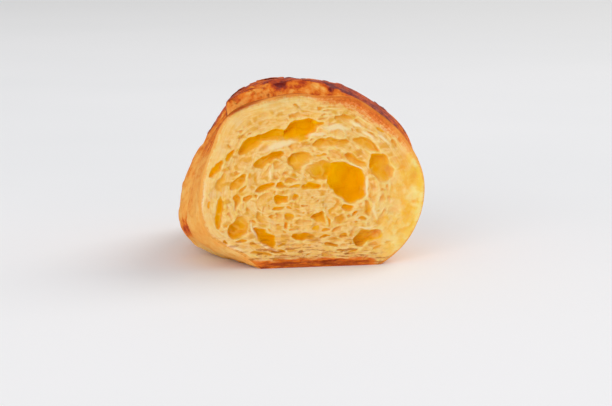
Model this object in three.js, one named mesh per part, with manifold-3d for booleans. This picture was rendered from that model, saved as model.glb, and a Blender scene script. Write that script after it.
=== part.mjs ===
// Half of a butter croissant, cut across near its middle, standing on its baked base.
// Millimetres, +Z up. The cut face looks along -Y, the tip points along +Y and turns a little to -X.
// The body is one solid: a triangle of dough rolled from its wide side, so that each turn is narrower
// than the one under it and its edge shows as a step that winds round the body. The crumb's larger
// bubbles are pockets in the cut face.
import * as THREE from "three";
import { mergeVertices } from "three/addons/utils/BufferGeometryUtils.js";
import Module from "manifold-3d";

// Driving dimensions
const CENTRE_HEIGHT = 24; // height of the roll's centre over the table at the cut
const HALF_ROLL = 65; // from the roll's middle to its tip
const CUT_TO_MIDDLE = 9; // the knife missed the middle by this much
const TIP_BEND = 13; // how far the tip turns to -X
const TIP_LIFT = 2.5; // how far the tip's underside rises off the table
const TIP_ROUND = 8; // length of the tip's rounded end
const TIP_SCALE = 0.3; // the section's size at the tip, as a share of the middle's
const TAPER_POWER = 1.9; // above 1 keeps the middle thick and narrows the body mostly near the tip
const LENGTH = HALF_ROLL + CUT_TO_MIDDLE; // from the cut to the tip

// The roll of dough
const TURNS = 5; // turns that show from the tongue's end to the tip
const TURN_POWER = 1.8; // above 1 makes the outer turns' bands wider than the inner ones'
const TONGUE_END = 140; // degrees, where the outermost turn ends, at the upper left of the cut
const TONGUE_HALF = 5; // half the width of its blunt end
const TONGUE_ROUND = 9; // degrees over which the tongue's end rises
const STEP_MIDDLE = 3.8; // height of a turn's edge at the middle
const STEP_TIP = 2.2; // and at the tip
const STEP_RUN = 3.4; // length over which an edge drops
const LEAST_RUN = 0.02; // and the least share of a turn that it takes
const PILLOW = 1.1; // how far a band swells between its two edges

// Radius of the roll from its centre, every 22.5 degrees from +X towards +Z, before steps and taper.
// The base is cut flat by the table, so the values near 270 degrees only have to reach past it.
const OUTLINE = [34.8, 33.5, 31, 30.2, 30.1, 31.2, 32.7, 30.5, 33.7, 37.2, 32, 27.2, 26, 29.4, 31.8, 34.5];
// How far the skin is drawn in at the cut, at the same angles, and the length over which it recovers.
// Below 0 it swells there.
const DRAWN_IN = [0, 1.5, 1.4, 0.7, 0, 0.3, -0.9, -1.1, 1.4, 4.2, 4.5, 0.3, 0.3, 0.3, 0, 0];
const DRAWN_LENGTH = 9;
// The hollow in the upper left shoulder, behind the tongue's end
const SHOULDER = { degrees: 138, along: 23, spreadDegrees: 13, spreadAlong: 12, depth: 3.6 };

// Unevenness of the skin: height, waves round the section, length of a wave along the body, phase
const LUMPS = [
  [0.45, 3, 27, 0.6],
  [0.35, 5, 20, 2.1],
  [0.25, 8, 13, 4.0],
];
const LUMP_FADE = 1.7; // wave lengths over which a lump comes and goes

// Bubbles
const SKIN = 3.2; // dough left between the bubbles and the crust
const WALL = 0.7; // dough left between two bubbles
const SPIRAL_CENTRE = [-3, 20]; // X and Z of the crumb's spiral on the cut face
// The large bubbles: X and Z of the middle, half length, half height, depth, tilt in degrees
const LARGE_BUBBLES = [
  [11, 25.4, 6.2, 5.2, 8, -48],
  [20.2, 29.4, 4.2, 3.2, 5, -70],
  [-8.6, 40, 10.5, 2.3, 5.5, 24],
  [-12.3, 31.6, 4.6, 2, 4, 27],
  [-2.3, 32.4, 4.4, 2.6, 3, 8],
  [0.4, 23.6, 3.7, 1.8, 5, 10],
  [13.4, 37.2, 7.2, 2.2, 3, -17],
  [-21.4, 11.4, 3.2, 2.8, 4, -30],
  [-13.9, 8.6, 3.5, 2, 4.5, -24],
  [-1, 9.2, 5, 1.4, 4, 0],
  [17.3, 9, 4.4, 2.3, 5, 12],
  [17.2, 16.6, 2, 3, 3, 0],
  [-27.6, 16.6, 4.6, 1.1, 4, 88],
  [-22.4, 26.4, 3.8, 1.8, 3, 38],
  [-27.2, 28.6, 3.4, 1.4, 3, 62],
  [7.4, 43.6, 4.4, 1.4, 2.5, -4],
  [-14.4, 23.4, 3.1, 1.4, 3.5, 26],
  [-8.9, 19.7, 2.2, 1.8, 3.5, 0],
  [2.2, 14.6, 2.4, 2, 3.5, 20],
];
// Rings of small bubbles round the spiral's centre: share of the way to the skin, bubbles, half length, half height
const SMALL_RINGS = [
  [0.14, 5, 1.3, 0.9],
  [0.34, 10, 1.7, 0.9],
  [0.52, 15, 2.1, 1],
  [0.7, 20, 2.4, 1],
  [0.86, 26, 2.4, 0.8],
];
const SMALL_DEPTH = 2.4;
const SMALL_VARY = 0.15; // how much their lengths vary, as a share
const RING_TURN = 0.37; // bubbles by which each ring is turned from the last
const BUBBLE_MIDDLE = 1 / 6; // how far behind the cut a bubble's middle lies, as a share of its depth

// Facets
const AROUND = 76;
const ALONG = 42;
const LARGE_SIDES = 12;
const SMALL_SIDES = 8;
const CROWDING = 0.44; // how much closer together the rings are at the cut and the tip, as a share

const CRUST_COLOUR = 0xc98a43;
const radians = THREE.MathUtils.degToRad;
const soft = THREE.MathUtils.smoothstep;

// A value from a list that goes evenly round a circle, by a closed Catmull-Rom curve.
function roundList(list, degrees) {
  const at = ((((degrees % 360) + 360) % 360) / 360) * list.length;
  const i = Math.floor(at);
  const t = at - i;
  const [a, b, c, d] = [-1, 0, 1, 2].map((k) => list[(i + k + list.length) % list.length]);
  return 0.5 * (2 * b + (c - a) * t + (2 * a - 5 * b + 4 * c - d) * t * t + (3 * b - a - 3 * c + d) * t * t * t);
}

// How many turns have ended at a distance from the roll's middle, as a smooth number.
function turnsEnded(fromMiddle) {
  const past = Math.max(0, fromMiddle - TONGUE_HALF) / (HALF_ROLL - TONGUE_HALF);
  return TURNS * (1 - Math.max(0, 1 - past) ** (1 / TURN_POWER));
}

// The height of the skin over the smooth roll, in steps: from -0.5 in the crease outside a turn's edge
// to 0.5 on the edge of the turn under it.
function stair(degrees, fromMiddle) {
  const sinceEnd = (((TONGUE_END - degrees) % 360) + 360) % 360;
  const run = Math.max(LEAST_RUN, (turnsEnded(fromMiddle + STEP_RUN / 2) - turnsEnded(fromMiddle - STEP_RUN / 2)) / 2);
  const x = turnsEnded(fromMiddle) - sinceEnd / 360;
  const onTongue = (1 - soft(x, -run, run)) * soft(sinceEnd, 0, TONGUE_ROUND);
  let height = x - 0.5 + onTongue;
  for (let k = 1; k <= TURNS; k++) height -= soft(x - k, -run, run);
  return height;
}

// A band's swelling between its two edges.
function pillow(degrees, fromMiddle) {
  return PILLOW * Math.abs(Math.sin(Math.PI * (turnsEnded(fromMiddle) + degrees / 360 - TONGUE_END / 360)));
}

function lumps(degrees, along) {
  let sum = 0;
  for (const [height, round, wave, phase] of LUMPS) {
    const turn = (2 * Math.PI * along) / wave;
    sum += height * Math.sin(radians(degrees) * round + phase + turn) * Math.cos(turn / LUMP_FADE + phase * 2);
  }
  return sum;
}

function shoulderHollow(degrees, along) {
  const round = (degrees - SHOULDER.degrees) / SHOULDER.spreadDegrees;
  const down = (along - SHOULDER.along) / SHOULDER.spreadAlong;
  return SHOULDER.depth * Math.exp(-round * round - down * down);
}

// The section's size along the body, as a share of the middle's.
function taper(fromMiddle) {
  return 1 - (1 - TIP_SCALE) * (fromMiddle / (HALF_ROLL - TIP_ROUND / 2)) ** TAPER_POWER;
}

// How far the section has shrunk towards the tip's rounded end.
function tipClosing(fromMiddle) {
  const into = Math.max(0, fromMiddle - (HALF_ROLL - TIP_ROUND)) / TIP_ROUND;
  return Math.sqrt(Math.max(0, 1 - into * into));
}

function skinRadius(degrees, along) {
  const fromMiddle = Math.abs(along - CUT_TO_MIDDLE);
  const step = STEP_MIDDLE + (STEP_TIP - STEP_MIDDLE) * (fromMiddle / HALF_ROLL);
  const drawn = roundList(DRAWN_IN, degrees) * Math.max(0, 1 - along / DRAWN_LENGTH) ** 2;
  const rolled = roundList(OUTLINE, degrees) * taper(fromMiddle);
  const relief = step * stair(degrees, fromMiddle) + pillow(degrees, fromMiddle) + lumps(degrees, along);
  const sunk = drawn + shoulderHollow(degrees, along);
  return Math.max(0, rolled + relief - sunk) * tipClosing(fromMiddle);
}

// A point of the skin: the section at a distance along the bent middle line, cut flat by the table.
function skinPoint(degrees, along) {
  const fromMiddle = Math.abs(along - CUT_TO_MIDDLE);
  const share = along / LENGTH;
  const turned = Math.atan((2 * TIP_BEND * share) / LENGTH);
  const radius = skinRadius(degrees, along);
  const across = radius * Math.cos(radians(degrees));
  const centre = CENTRE_HEIGHT * taper(fromMiddle) + TIP_LIFT * soft(fromMiddle, HALF_ROLL / 2, HALF_ROLL);
  return [
    across * Math.cos(turned) - TIP_BEND * share * share,
    along + across * Math.sin(turned) * soft(along, 0, LENGTH / 2),
    Math.max(0, centre + radius * Math.sin(radians(degrees))),
  ];
}

// Distances along the body of the rings of vertices, closer together at the cut and at the tip.
function ringPlaces() {
  return Array.from({ length: ALONG }, (_, j) => {
    const turn = (2 * Math.PI * j) / ALONG;
    return (LENGTH * (turn - CROWDING * Math.sin(turn))) / (2 * Math.PI);
  });
}

function bodyGeometry() {
  const points = [];
  const faces = [];
  const rings = ringPlaces();
  for (const along of rings)
    for (let i = 0; i < AROUND; i++) points.push(...skinPoint((360 * i) / AROUND, along));
  const cutMiddle = points.length / 3;
  points.push(0, 0, CENTRE_HEIGHT);
  const tip = cutMiddle + 1;
  points.push(...skinPoint(0, LENGTH));
  const last = (rings.length - 1) * AROUND;
  for (let i = 0; i < AROUND; i++) {
    const next = (i + 1) % AROUND;
    faces.push(cutMiddle, i, next, tip, last + next, last + i);
    for (let j = 0; j < last; j += AROUND)
      faces.push(j + i, j + AROUND + i, j + AROUND + next, j + i, j + AROUND + next, j + next);
  }
  return new THREE.BufferGeometry()
    .setAttribute("position", new THREE.Float32BufferAttribute(points, 3))
    .setIndex(faces);
}

// A bubble cut open by the knife: an ellipsoid with its middle a little behind the cut face.
function bubbleGeometry([x, z, halfLength, halfHeight, depth, tilt]) {
  const sides = depth > SMALL_DEPTH ? LARGE_SIDES : SMALL_SIDES;
  return new THREE.SphereGeometry(1, sides, sides / 2)
    .rotateX(Math.PI / 2)
    .scale(halfLength, depth * (1 - BUBBLE_MIDDLE), halfHeight)
    .rotateY(-radians(tilt))
    .translate(x, depth * BUBBLE_MIDDLE, z);
}

// Distance from the spiral's centre to the skin of the cut face, at an angle seen from that centre.
function reach(degrees) {
  const [cx, cz] = SPIRAL_CENTRE;
  let far = 0;
  for (let i = 0; i < AROUND; i++) {
    const [x, , z] = skinPoint((360 * i) / AROUND, 0);
    const off = Math.abs(((THREE.MathUtils.radToDeg(Math.atan2(z - cz, x - cx)) - degrees + 540) % 360) - 180);
    if (off < 360 / AROUND) far = Math.max(far, Math.hypot(x - cx, z - cz));
  }
  return far;
}

// Whether a small bubble with its middle at x, z leaves a wall between itself and another bubble.
function clearOf([otherX, otherZ, halfLength, halfHeight, , tilt], x, z, halfSize) {
  const cos = Math.cos(radians(tilt));
  const sin = Math.sin(radians(tilt));
  const along = (x - otherX) * cos + (z - otherZ) * sin;
  const across = (z - otherZ) * cos - (x - otherX) * sin;
  return (along / (halfLength + halfSize + WALL)) ** 2 + (across / (halfHeight + halfSize / 2 + WALL)) ** 2 > 1;
}

// The small bubbles lie along rings, turned along their ring, where no larger bubble is.
function smallBubbles() {
  const small = [];
  SMALL_RINGS.forEach(([share, count, halfLength, halfHeight], ring) => {
    for (let i = 0; i < count; i++) {
      const degrees = (360 * (i + RING_TURN * ring)) / count;
      const distance = share * (reach(degrees) - SKIN);
      const x = SPIRAL_CENTRE[0] + distance * Math.cos(radians(degrees));
      const z = SPIRAL_CENTRE[1] + distance * Math.sin(radians(degrees));
      const length = halfLength * (1 + SMALL_VARY * Math.sin(degrees * 7 + ring));
      if (z > SKIN && [...LARGE_BUBBLES, ...small].every((other) => clearOf(other, x, z, length)))
        small.push([x, z, length, halfHeight, SMALL_DEPTH, degrees + 90]);
    }
  });
  return small;
}

const wasm = await Module();
wasm.setup();

function toSolid(geometry) {
  const bare = geometry.clone();
  bare.deleteAttribute("normal");
  bare.deleteAttribute("uv");
  const merged = mergeVertices(bare, 1e-4);
  return new wasm.Manifold(
    new wasm.Mesh({
      numProp: 3,
      vertProperties: merged.attributes.position.array,
      triVerts: new Uint32Array(merged.index.array),
    }),
  );
}

function toGeometry(solid) {
  const mesh = solid.getMesh();
  const geometry = new THREE.BufferGeometry()
    .setAttribute("position", new THREE.Float32BufferAttribute(mesh.vertProperties, 3))
    .setIndex(Array.from(mesh.triVerts));
  geometry.computeVertexNormals();
  return geometry;
}

function croissantGeometry() {
  let solid = toSolid(bodyGeometry());
  for (const bubble of [...LARGE_BUBBLES, ...smallBubbles()]) solid = solid.subtract(toSolid(bubbleGeometry(bubble)));
  const geometry = toGeometry(solid);
  geometry.computeBoundingBox();
  const middle = geometry.boundingBox.getCenter(new THREE.Vector3());
  return geometry.translate(-middle.x, -middle.y, -geometry.boundingBox.min.z);
}

const croissant = new THREE.Mesh(
  croissantGeometry(),
  new THREE.MeshStandardMaterial({ color: CRUST_COLOUR, roughness: 0.6, metalness: 0 }),
);
croissant.name = "half_croissant";

const part = new THREE.Group();
part.add(croissant);

export default part;
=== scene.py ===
"""Half of a butter croissant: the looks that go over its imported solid.

Everything is made in millimetres in the cut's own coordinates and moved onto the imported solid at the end:
X goes to the right, Y from the cut towards the tip and Z up from the table.
"""

import math

import bpy
import numpy as np
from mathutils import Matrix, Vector


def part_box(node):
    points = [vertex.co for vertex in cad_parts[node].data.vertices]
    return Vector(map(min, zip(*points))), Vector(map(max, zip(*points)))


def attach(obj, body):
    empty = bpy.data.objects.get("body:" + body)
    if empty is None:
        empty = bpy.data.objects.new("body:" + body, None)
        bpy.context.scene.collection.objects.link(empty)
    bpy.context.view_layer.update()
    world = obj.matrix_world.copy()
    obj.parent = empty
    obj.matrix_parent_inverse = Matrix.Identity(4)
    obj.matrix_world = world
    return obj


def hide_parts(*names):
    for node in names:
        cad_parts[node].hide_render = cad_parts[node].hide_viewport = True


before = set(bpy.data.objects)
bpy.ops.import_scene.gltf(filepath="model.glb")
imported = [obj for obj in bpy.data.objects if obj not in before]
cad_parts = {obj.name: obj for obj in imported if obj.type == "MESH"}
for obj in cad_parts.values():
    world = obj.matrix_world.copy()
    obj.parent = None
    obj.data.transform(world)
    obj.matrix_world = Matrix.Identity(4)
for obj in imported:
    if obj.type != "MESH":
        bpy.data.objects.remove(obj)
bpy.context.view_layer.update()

NODE = "half_croissant"
MM = 0.001

# The roll of dough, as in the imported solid
CENTRE_HEIGHT = 24.0
HALF_ROLL = 65.0  # from the roll's middle to its tip
CUT_TO_MIDDLE = 9.0  # the cut lies this far past the middle
TIP_BEND = 13.0  # how far the tip turns to -X
TIP_LIFT = 2.5
TIP_ROUND = 8.0
TIP_SCALE = 0.3  # the section's size at the tip, as a share of the middle's
TAPER_POWER = 1.9
LENGTH = HALF_ROLL + CUT_TO_MIDDLE
TURNS = 5  # turns of dough that show from the tongue's end to the tip
TURN_POWER = 1.8  # above 1 makes the outer turns' bands wider than the inner ones'
TONGUE_END = 140.0  # degrees, where the outermost turn ends
TONGUE_HALF = 5.0
TONGUE_ROUND = 9.0
STEP_MIDDLE = 3.8  # height of a turn's edge at the middle
STEP_TIP = 2.2  # and at the tip
STEP_RUN = 3.4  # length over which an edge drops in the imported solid
LEAST_RUN = 0.02
PILLOW = 1.1  # how far a band swells between its two edges
# The skin's distance from the roll's centre, every 22.5 degrees from +X towards +Z, how far it is drawn in
# at the cut at the same angles, and the length over which it recovers
OUTLINE = [34.8, 33.5, 31, 30.2, 30.1, 31.2, 32.7, 30.5, 33.7, 37.2, 32, 27.2, 26, 29.4, 31.8, 34.5]
DRAWN_IN = [0, 1.5, 1.4, 0.7, 0, 0.3, -0.9, -1.1, 1.4, 4.2, 4.5, 0.3, 0.3, 0.3, 0, 0]
DRAWN_LENGTH = 9.0
SHOULDER = (138.0, 23.0, 13.0, 12.0, 3.6)  # degrees, along, spread in both, depth
# Unevenness of the skin: height, waves round the section, length of a wave along the body, phase
LUMPS = [(0.45, 3, 27, 0.6), (0.35, 5, 20, 2.1), (0.25, 8, 13, 4.0)]
LUMP_FADE = 1.7  # wave lengths over which a lump comes and goes

# What the looks add to the skin
SHARP_RUN = 1.7  # length over which an edge drops
EDGE_REACH = 0.55 * SHARP_RUN  # half the width of a step's face
LAYER = 1.3  # thickness of the layers that show on a step
LAYER_RELIEF = 0.2
BAND_LINES = 3.0  # how fine the lines along a band are

# Flakes
FLAKES = 190
TONGUE_FLAKES = 26  # how many of them lie on the tongue
FLAKE_GRID = (5, 7)  # points along and across one
TONGUE_LEAF = (4.0, 1.3, 0.4, 0.12)  # width, length, most lift and thickness of one on the tongue
STEP_LEAF = (3.4, 1.7, 0.28, 0.1)  # and of one on a step

# Grids of points
CRUMB_SIDE = 246
CRUST_AROUND = 330
CRUST_ALONG = 112
RING_BLEND = 10  # neighbouring columns of points whose rings are evened out, so that none is sheared
FIRST_RING = 0.3  # distance of the crust's first ring of points from the cut

# The cut face
SPIRAL_CENTRE = (-3.0, 20.0)
RIM = [1.6, 1.6, 2.2, 3.0, 4.2, 6.0, 6.5, 5.0, 4.2, 4.2, 3.6, 2.0, 1.5, 1.5, 1.5, 1.6]  # at OUTLINE's angles
CREASE_START = 100.0  # degrees, where the crease under the tongue has faded out
CREASE_RADIUS = 28.9  # its distance there from the roll's centre

# Cells of the cut face that can be told apart. Each row has X, Z, half length, half height, depth,
# tilt in degrees, the way to the cell's deep side in degrees, and 1 where it opens into the cell before it.
CELLS = [
    (12.2, 25.6, 7.0, 4.9, 5.0, -45, -20, 0),
    (4.0, 29.2, 5.0, 2.8, 2.0, -12, -30, 1),
    (21.8, 31.2, 3.4, 2.8, 4.4, -12, 90, 0),
    (22.9, 28.2, 3.6, 2.9, 3.0, -25, 80, 1),
    (2.8, 43.6, 2.0, 0.9, 2.8, -14, 80, 0),
    (-2.0, 41.7, 5.4, 3.0, 3.8, 20, 80, 1),
    (-9.8, 39.8, 4.6, 1.7, 3.5, 12, 100, 1),
    (-16.2, 37.5, 4.6, 2.0, 3.0, 32, 120, 1),
    (-23.4, 34.1, 2.2, 0.7, 2.4, 47, 130, 0),
    (-26.9, 30.6, 2.7, 0.9, 2.6, 55, 150, 0),
    (-11.2, 32.8, 4.8, 1.7, 3.0, 24, 110, 0),
    (-1.8, 32.6, 4.1, 2.6, 1.6, 12, 150, 0),
    (4.6, 33.7, 1.9, 0.5, 2.0, 2, 90, 0),
    (7.4, 37.4, 6.2, 1.5, 1.5, 0, 90, 0),
    (18.2, 35.9, 5.0, 1.6, 1.3, -26, 60, 0),
    (14.2, 31.7, 3.7, 1.4, 1.3, -26, 90, 0),
    (11.0, 44.3, 3.4, 1.3, 1.1, -3, 90, 0),
    (6.0, 46.7, 2.2, 0.4, 1.1, -1, 90, 0),
    (14.3, 45.0, 1.0, 0.5, 1.3, -20, 90, 0),
    (16.3, 40.2, 1.2, 0.8, 1.7, -30, 90, 0),
    (22.2, 41.0, 1.4, 0.6, 1.3, -40, 60, 0),
    (-25.6, 26.2, 3.6, 2.0, 0.7, 76, 160, 0),
    (-19.3, 32.2, 3.6, 1.5, 0.5, 28, 110, 0),
    (-12.8, 20.6, 2.6, 1.9, 0.4, 20, 110, 0),
    (-0.6, 13.6, 2.2, 1.1, 0.4, 0, 90, 0),
    (29.0, 28.8, 0.9, 0.6, 0.9, 60, 60, 0),
    (23.2, 22.4, 1.0, 0.4, 1.4, -20, 90, 0),
    (-20.8, 26.6, 2.9, 1.4, 2.2, 44, 110, 0),
    (-19.2, 24.4, 1.6, 0.5, 1.7, 55, 110, 0),
    (-21.3, 20.6, 2.6, 1.1, 1.7, 76, 110, 0),
    (-18.1, 21.2, 1.5, 0.9, 1.5, 40, 110, 0),
    (-26.3, 17.2, 4.6, 1.0, 2.6, 89, 170, 0),
    (-28.9, 19.6, 1.0, 0.4, 1.7, 85, 170, 0),
    (-13.1, 24.3, 3.1, 1.1, 2.5, 22, 100, 0),
    (-8.0, 24.8, 2.1, 1.0, 2.6, -2, 90, 0),
    (-3.6, 24.1, 1.6, 0.5, 1.7, 5, 90, 0),
    (-7.8, 20.4, 2.1, 1.7, 3.0, 0, 110, 0),
    (-3.1, 20.8, 1.2, 1.0, 2.4, 0, 110, 0),
    (-8.5, 17.6, 2.3, 0.8, 2.6, 6, 100, 0),
    (-5.2, 17.7, 0.6, 0.5, 1.7, 0, 90, 0),
    (-5.2, 15.0, 1.3, 0.9, 1.7, 20, 90, 0),
    (-6.2, 12.5, 1.2, 0.7, 1.6, 90, 90, 0),
    (1.2, 24.1, 3.1, 1.4, 3.2, 10, 60, 0),
    (-0.2, 18.6, 1.2, 0.5, 1.6, 10, 90, 0),
    (4.6, 18.5, 0.7, 0.5, 1.6, 0, 90, 0),
    (3.4, 14.8, 2.4, 2.1, 2.2, 20, 100, 0),
    (6.6, 14.3, 1.2, 0.5, 2.2, 88, 0, 0),
    (12.4, 18.2, 1.9, 1.0, 2.8, -6, 90, 0),
    (14.8, 15.7, 0.9, 0.6, 2.2, 0, 90, 0),
    (17.0, 14.0, 1.5, 0.6, 2.4, 8, 60, 0),
    (18.8, 17.2, 2.4, 1.3, 1.8, -72, 0, 0),
    (5.6, 11.2, 1.6, 0.7, 1.6, 0, 90, 0),
    (6.0, 9.3, 2.4, 0.5, 2.5, 3, 90, 0),
    (-1.0, 9.4, 4.2, 1.2, 3.0, -2, 170, 0),
    (11.4, 9.2, 1.7, 0.7, 1.7, 28, 90, 0),
    (7.2, 6.5, 1.9, 0.5, 3.6, 4, 90, 0),
    (18.3, 8.7, 4.2, 2.2, 4.4, 14, 150, 0),
    (21.7, 5.2, 1.8, 0.4, 1.7, 52, 90, 0),
    (25.2, 6.9, 1.6, 0.5, 1.1, 24, 90, 0),
    (-12.9, 9.3, 3.4, 2.0, 3.6, -32, 30, 0),
    (-20.5, 12.4, 3.9, 2.7, 2.4, 62, 230, 0),
    (-19.6, 8.3, 1.7, 0.5, 2.1, -6, 90, 0),
    (-24.6, 7.9, 1.2, 0.5, 2.0, -42, 60, 0),
    (-16.4, 14.0, 1.5, 0.5, 1.8, -12, 90, 0),
    (-8.9, 5.0, 2.8, 0.6, 2.8, -15, 90, 0),
    (-13.4, 4.4, 3.2, 0.8, 1.2, -10, 90, 0),
    (-7.4, 6.7, 1.5, 0.4, 2.1, -6, 90, 0),
    (0.2, 3.9, 1.0, 0.3, 2.1, 8, 90, 0),
    (10.0, 4.5, 1.3, 0.4, 1.3, 0, 90, 0),
    (14.2, 4.8, 1.8, 0.4, 1.2, 14, 90, 0),
]
X, Z, HALF, FLAT, DEEP, TILT, WAY, OPENS = range(8)  # the columns of such a row
NO_WALL_BEHIND = (2, 3)  # the cells whose floors show no other bubble
# Smooth pale walls: X and Z of the middle, half length, half height, tilt in degrees
PALE_WALLS = [
    (8.6, 41.9, 4.4, 0.9, -4),
    (18.6, 39.0, 2.8, 0.7, -38),
    (22.6, 38.4, 2.6, 0.5, -40),
    (-8.6, 37.0, 5.6, 1.0, 18),
    (2.6, 40.0, 3.2, 0.6, 4),
    (15.6, 42.4, 2.4, 0.5, -24),
    (-16.0, 11.6, 2.6, 0.5, -74),
    (18.3, 23.8, 4.4, 0.5, 92),
    (13.4, 30.4, 4.6, 0.3, -24),
    (20.9, 16.4, 2.6, 0.4, -80),
    (18.0, 11.6, 3.6, 0.3, 14),
    (-12.0, 6.8, 4.6, 0.4, -26),
    (-10.9, 28.6, 1.8, 0.5, 88),
    (-31.4, 20.0, 8.0, 0.5, 84),
    (-22.0, 6.6, 4.0, 0.6, -18),
    (30.5, 8.0, 4.5, 2.4, 62),
]
# Cells placed at random: tries, half length, half height, depth, and how near the skin they come, as a
# share of the rim's width
CELL_SORTS = [
    (400, (2.0, 3.6), (0.8, 1.5), (0.2, 0.6), 1.1),
    (500, (1.3, 2.4), (0.5, 1.0), (0.2, 0.8), 1.0),
    (500, (0.7, 1.3), (0.3, 0.6), (0.3, 1.1), 0.9),
    (900, (0.35, 0.7), (0.2, 0.35), (0.3, 1.0), 0.75),
]
POINTS_AT_ONCE = 4000  # how many points are set against all the cells in one go
# AMBER_DEPTH sets how deep a cell must be for its full painted amber light
AMBER_DEPTH = 3.7  # a floor as deep as this is fully amber
WALL = 0.34  # dough left between two cells
FILLER_REACH = 0.7  # the same for the cells that fill in between the named ones
SLANT = 0.95  # how much deeper than its middle a cell is on its deep side
OPEN_BLEND = 5.0  # how sharply one cell's floor gives way to that of the cell it opens into
CELL_REACH = 0.25  # how far a cell swells past its own size where nothing stops it


def soft(x, low, high):
    """Rises smoothly from 0 at low to 1 at high."""
    t = np.clip((x - low) / (high - low), 0, 1)
    return t * t * (3 - 2 * t)


def mix(a, b, t):
    return a + (b - a) * t


def hashed(ix, iy, iz, seed):
    """A random number from 0 to 1 for each lattice point."""
    h = (
        ix.astype(np.uint32) * np.uint32(374761393)
        + iy.astype(np.uint32) * np.uint32(668265263)
        + iz.astype(np.uint32) * np.uint32(2246822519)
        + np.uint32(seed * 3266489917 % 2**32)
    )
    h = (h ^ (h >> np.uint32(13))) * np.uint32(1274126177)
    h = h ^ (h >> np.uint32(16))
    return (h & np.uint32(0xFFFFFF)).astype(float) / 0xFFFFFF


def noise(place, size, seed):
    """Smooth noise from -1 to 1 at places of three coordinates, with features about that size."""
    x, y, z = (v / size for v in place)
    ix, iy, iz = (np.floor(v).astype(np.int64) for v in (x, y, z))
    fx, fy, fz = (soft(v - i, 0, 1) for v, i in ((x, ix), (y, iy), (z, iz)))
    total = np.zeros(np.broadcast(x, y, z).shape)
    for cx in (0, 1):
        for cy in (0, 1):
            for cz in (0, 1):
                weight = (fx if cx else 1 - fx) * (fy if cy else 1 - fy) * (fz if cz else 1 - fz)
                total = total + weight * hashed(ix + cx, iy + cy, iz + cz, seed)
    return 2 * total - 1


def rough_noise(place, size, seed):
    """Noise with two finer ones added, each half as wide and half as strong as the one before."""
    return sum(noise(place, size / 2**k, seed + k) / 2**k for k in range(3)) / 1.75


def hump(x, width):
    """1 at 0, and fading out on both sides within about that width."""
    return np.exp(-((x / width) ** 2))


def on_circle(radius, degrees):
    """How far right and up of a circle's centre a point on it lies."""
    return radius * np.cos(np.radians(degrees)), radius * np.sin(np.radians(degrees))


def angle_of(dx, dz):
    """The angle of a direction, in degrees from +X towards +Z."""
    return np.degrees(np.arctan2(dz, dx)) % 360


def turn_from(start, degrees):
    """Degrees from one angle to another, from -180 to 180."""
    return (degrees - start + 180) % 360 - 180


def round_list(values, degrees):
    """A value from a list that goes evenly round a circle, by a closed Catmull-Rom curve."""
    values = np.array(values, float)
    at = (np.asarray(degrees, float) % 360) / 360 * len(values)
    i = np.floor(at).astype(int)
    t = at - i
    a, b, c, d = (values[(i + k) % len(values)] for k in (-1, 0, 1, 2))
    return 0.5 * (2 * b + (c - a) * t + (2 * a - 5 * b + 4 * c - d) * t**2 + (3 * b - a - 3 * c + d) * t**3)


def turns_ended(from_middle):
    """How many turns have ended at a distance from the roll's middle, as a smooth number."""
    past = np.maximum(0, from_middle - TONGUE_HALF) / (HALF_ROLL - TONGUE_HALF)
    return TURNS * (1 - np.maximum(0, 1 - past) ** (1 / TURN_POWER))


def since_end(degrees):
    """Degrees round the roll since the tongue's end."""
    return (TONGUE_END - degrees) % 360


def band_place(degrees, from_middle):
    """Turns since the tongue's end: its whole part counts the bands, the rest is the place across one."""
    return turns_ended(from_middle) - since_end(degrees) / 360


def stair(degrees, from_middle, step_run):
    """The skin's height in steps: -0.5 outside a turn's edge, 0.5 on the edge of the turn under it."""
    ahead = turns_ended(from_middle + step_run / 2)
    run = np.maximum(LEAST_RUN, (ahead - turns_ended(from_middle - step_run / 2)) / 2)
    x = band_place(degrees, from_middle)
    on_tongue = (1 - soft(x, -run, run)) * soft(since_end(degrees), 0, TONGUE_ROUND)
    height = x - 0.5 + on_tongue
    for k in range(1, TURNS + 1):
        height = height - soft(x - k, -run, run)
    return height


def pillow(degrees, from_middle):
    """A band's swelling between its two edges."""
    return PILLOW * np.abs(np.sin(np.pi * band_place(degrees, from_middle)))


def lumps(degrees, along):
    """The skin's broad unevenness."""
    total = 0
    for height, waves, wave, phase in LUMPS:
        turn = 2 * np.pi * along / wave
        swell = np.sin(np.radians(degrees) * waves + phase + turn)
        total = total + height * swell * np.cos(turn / LUMP_FADE + phase * 2)
    return total


def shoulder_hollow(degrees, along):
    """The hollow in the upper left shoulder, behind the tongue's end."""
    middle, at, spread_degrees, spread_along, depth = SHOULDER
    turn = turn_from(middle, degrees)
    return depth * np.exp(-((turn / spread_degrees) ** 2) - ((along - at) / spread_along) ** 2)


def taper(from_middle):
    """The section's size as a share of the middle's."""
    return 1 - (1 - TIP_SCALE) * (from_middle / (HALF_ROLL - TIP_ROUND / 2)) ** TAPER_POWER


def tip_closing(from_middle):
    """Closes the tip in a round end."""
    into = np.maximum(0, from_middle - (HALF_ROLL - TIP_ROUND)) / TIP_ROUND
    return np.sqrt(np.maximum(0, 1 - into * into))


def bands_per_mm(from_middle):
    """How fast the bands follow each other along the body."""
    before = turns_ended(np.maximum(0, from_middle - 0.5))
    return np.maximum(0.005, turns_ended(from_middle + 0.5) - before)


def step_edge(degrees, from_middle):
    """How near a point is to a step's face: 1 on it, 0 a little over a millimetre away."""
    x = band_place(degrees, from_middle)
    nearest = np.clip(np.round(x), 0, TURNS)
    return hump((x - nearest) / bands_per_mm(from_middle), EDGE_REACH)


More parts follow.
